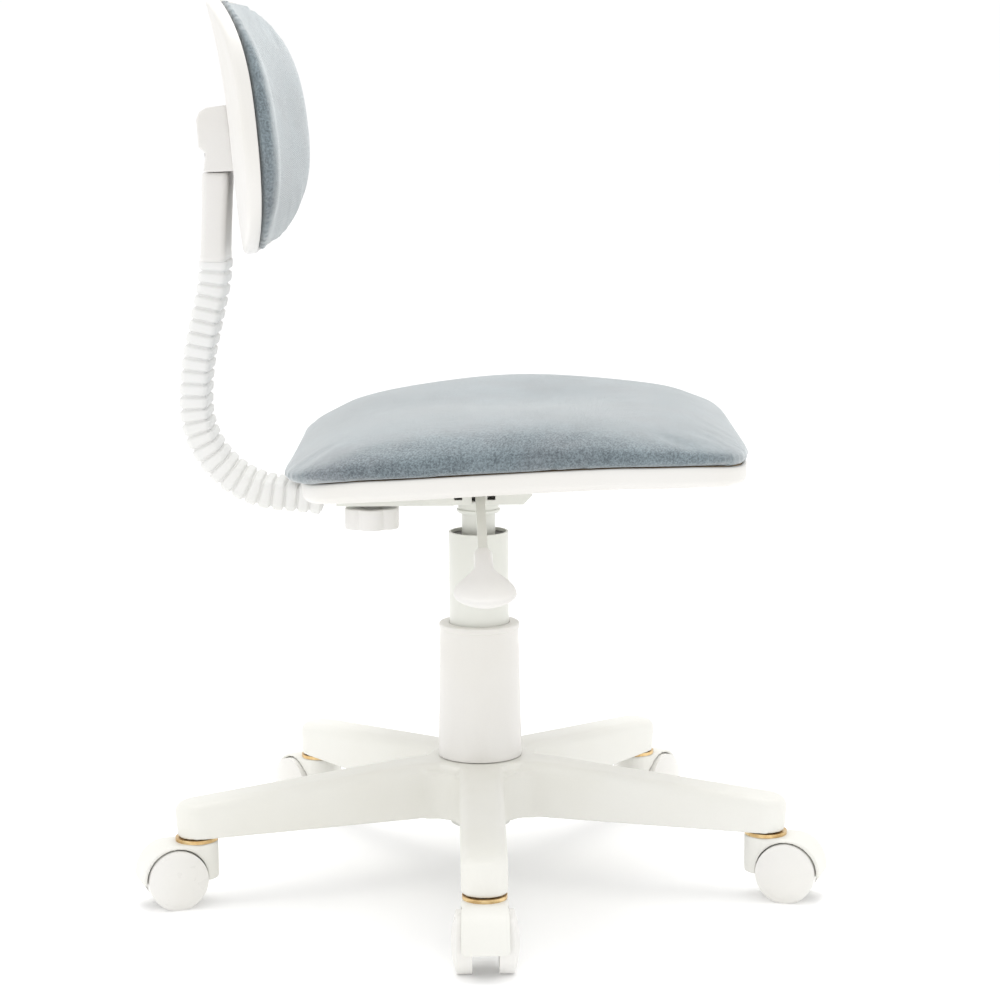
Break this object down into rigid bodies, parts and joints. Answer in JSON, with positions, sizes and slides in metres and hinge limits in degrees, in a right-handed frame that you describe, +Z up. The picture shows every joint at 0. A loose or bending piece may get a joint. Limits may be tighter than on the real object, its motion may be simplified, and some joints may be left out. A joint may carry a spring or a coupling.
{
  "type": "swivel task chair",
  "caption": "Small armless swivel chair: white five-star caster base, gas lift, padded velour seat and backrest on a ribbed sprung bar.",
  "frame": {"origin": "on the column axis at floor level", "axes": "+Z up along the column, +X towards the front of the seat, +Y towards the left hand of somebody sitting on it"},
  "size_m": [0.5686, 0.5441, 0.7328],
  "materials": {
    "white_nylon": "semi-matt moulded nylon",
    "white_plastic": "fine-textured moulded plastic",
    "white_rubber": "soft matt moulded plastic",
    "wheel_white": "smooth semi-gloss nylon",
    "black_plastic": "matt",
    "white_enamel": "satin powder coat",
    "steel": "zinc plated",
    "brass_steel": "yellow zinc plated",
    "plywood": "raw plywood",
    "velour": "short-pile velour with a soft sheen"
  },
  "bodies": {
    "base": {"star_base": "white_nylon", "stem_sockets": "steel", "column_tube": "white_enamel", "column_cover": "white_plastic", "guide_bush": "black_plastic", "thrust_bearing": "steel"},
    "lift_rod": {"piston_rod": "steel", "piston": "black_plastic", "bottom_clip": "steel"},
    "seat": {"gas_tube": "white_enamel", "taper_socket": "white_enamel", "mech_plate": "white_enamel", "lever_pin": "steel", "seat_pan": "white_plastic", "seat_board": "plywood", "seat_cushion": "velour", "seat_bolts": "steel", "tee_nuts": "steel"},
    "valve": {"valve_pin": "black_plastic"},
    "lever": {"lever_rod": "white_enamel", "lever_paddle": "white_plastic"},
    "knob": {"clamp_knob": "white_plastic", "clamp_bolt": "steel"},
    "clamp": {"clamp_nut": "steel"},
    "back_bar": {"bar_lower": "steel", "bellows_lower": "white_rubber"},
    "back_upright": {"bar_upper": "steel", "bellows_upper": "white_rubber", "bar_sleeve": "white_plastic"},
    "backrest": {"back_bracket": "white_plastic", "back_shell": "white_plastic", "back_board": "plywood", "back_cushion": "velour", "back_screws": "steel"},
    "caster_1": {"hood_1": "white_nylon", "stem_1": "brass_steel", "axle_1": "steel"},
    "left_wheel_1": {"wheel_left_1": "wheel_white"},
    "right_wheel_1": {"wheel_right_1": "wheel_white"},
    "caster_2": {"hood_2": "white_nylon", "stem_2": "brass_steel", "axle_2": "steel"},
    "left_wheel_2": {"wheel_left_2": "wheel_white"},
    "right_wheel_2": {"wheel_right_2": "wheel_white"},
    "caster_3": {"hood_3": "white_nylon", "stem_3": "brass_steel", "axle_3": "steel"},
    "left_wheel_3": {"wheel_left_3": "wheel_white"},
    "right_wheel_3": {"wheel_right_3": "wheel_white"},
    "caster_4": {"hood_4": "white_nylon", "stem_4": "brass_steel", "axle_4": "steel"},
    "left_wheel_4": {"wheel_left_4": "wheel_white"},
    "right_wheel_4": {"wheel_right_4": "wheel_white"},
    "caster_5": {"hood_5": "white_nylon", "stem_5": "brass_steel", "axle_5": "steel"},
    "left_wheel_5": {"wheel_left_5": "wheel_white"},
    "right_wheel_5": {"wheel_right_5": "wheel_white"}
  },
  "joints": [
    {"name": "caster_swivel_1", "type": "hinge", "parent": "base", "child": "caster_1", "pos_m": [0.0047, -0.24496, 0.055], "axis": [0, 0, 1], "continuous": true},
    {"name": "left_wheel_spin_1", "type": "hinge", "parent": "caster_1", "child": "left_wheel_1", "pos_m": [0.00509, -0.26495, 0.02425], "axis": [0.9998, 0.0192, 0], "continuous": true},
    {"name": "right_wheel_spin_1", "type": "hinge", "parent": "caster_1", "child": "right_wheel_1", "pos_m": [0.00509, -0.26495, 0.02425], "axis": [0.9998, 0.0192, 0], "continuous": true},
    {"name": "caster_swivel_2", "type": "hinge", "parent": "base", "child": "caster_2", "pos_m": [0.23442, -0.07122, 0.055], "axis": [0, 0, 1], "continuous": true},
    {"name": "left_wheel_spin_2", "type": "hinge", "parent": "caster_2", "child": "left_wheel_2", "pos_m": [0.25356, -0.07704, 0.02425], "axis": [0.2907, 0.9568, 0], "continuous": true},
    {"name": "right_wheel_spin_2", "type": "hinge", "parent": "caster_2", "child": "right_wheel_2", "pos_m": [0.25356, -0.07704, 0.02425], "axis": [0.2907, 0.9568, 0], "continuous": true},
    {"name": "caster_swivel_3", "type": "hinge", "parent": "base", "child": "caster_3", "pos_m": [0.14018, 0.20094, 0.055], "axis": [0, 0, 1], "continuous": true},
    {"name": "left_wheel_spin_3", "type": "hinge", "parent": "caster_3", "child": "left_wheel_3", "pos_m": [0.15162, 0.21734, 0.02425], "axis": [-0.8202, 0.5721, 0], "continuous": true},
    {"name": "right_wheel_spin_3", "type": "hinge", "parent": "caster_3", "child": "right_wheel_3", "pos_m": [0.15162, 0.21734, 0.02425], "axis": [-0.8202, 0.5721, 0], "continuous": true},
    {"name": "caster_swivel_4", "type": "hinge", "parent": "base", "child": "caster_4", "pos_m": [-0.14779, 0.19541, 0.055], "axis": [0, 0, 1], "continuous": true},
    {"name": "left_wheel_spin_4", "type": "hinge", "parent": "caster_4", "child": "left_wheel_4", "pos_m": [-0.15985, 0.21136, 0.02425], "axis": [-0.7976, -0.6032, 0], "continuous": true},
    {"name": "right_wheel_spin_4", "type": "hinge", "parent": "caster_4", "child": "right_wheel_4", "pos_m": [-0.15985, 0.21136, 0.02425], "axis": [-0.7976, -0.6032, 0], "continuous": true},
    {"name": "caster_swivel_5", "type": "hinge", "parent": "base", "child": "caster_5", "pos_m": [-0.23151, -0.08017, 0.055], "axis": [0, 0, 1], "continuous": true},
    {"name": "left_wheel_spin_5", "type": "hinge", "parent": "caster_5", "child": "left_wheel_5", "pos_m": [-0.25041, -0.08671, 0.02425], "axis": [0.3272, -0.9449, 0], "continuous": true},
    {"name": "right_wheel_spin_5", "type": "hinge", "parent": "caster_5", "child": "right_wheel_5", "pos_m": [-0.25041, -0.08671, 0.02425], "axis": [0.3272, -0.9449, 0], "continuous": true},
    {"name": "seat_swivel", "type": "hinge", "parent": "base", "child": "lift_rod", "pos_m": [0, 0, 0.05], "axis": [0, 0, 1], "continuous": true},
    {"name": "gas_lift", "type": "slide", "parent": "lift_rod", "child": "seat", "axis": [0, 0, 1], "range_m": [0, 0.12]},
    {"name": "height_lever", "type": "hinge", "parent": "seat", "child": "lever", "pos_m": [0.001, -0.03, 0.338], "axis": [-1, 0, 0], "range_deg": [0, 7], "stiffness_Nm_per_rad": 2, "springref_deg": -20.05},
    {"name": "valve_press", "type": "slide", "parent": "seat", "child": "valve", "axis": [0, 0, -1], "range_m": [0, 0.0038]},
    {"name": "knob_turn", "type": "hinge", "parent": "seat", "child": "knob", "pos_m": [-0.0885, 0, 0.305], "axis": [0, 0, 1], "range_deg": [0, 726]},
    {"name": "clamp_lift", "type": "slide", "parent": "seat", "child": "clamp", "axis": [0, 0, 1], "range_m": [0, 0.0025]},
    {"name": "backrest_depth", "type": "slide", "parent": "seat", "child": "back_bar", "axis": [1, 0, 0], "range_m": [-0.04, 0.008]},
    {"name": "backrest_flex", "type": "hinge", "parent": "back_bar", "child": "back_upright", "pos_m": [-0.21306, 0, 0.35097], "axis": [0, -1, 0], "range_deg": [-2, 10], "stiffness_Nm_per_rad": 200},
    {"name": "backrest_height", "type": "slide", "parent": "back_upright", "child": "backrest", "axis": [0.0471, 0, 0.9989], "range_m": [0, 0.03]}
  ],
  "couplings": [
    {"joint": "valve_press", "follows": "height_lever", "m_per_rad": 0.03},
    {"joint": "knob_turn", "follows": "clamp_lift", "rad_per_m": 5026.5}
  ]
}
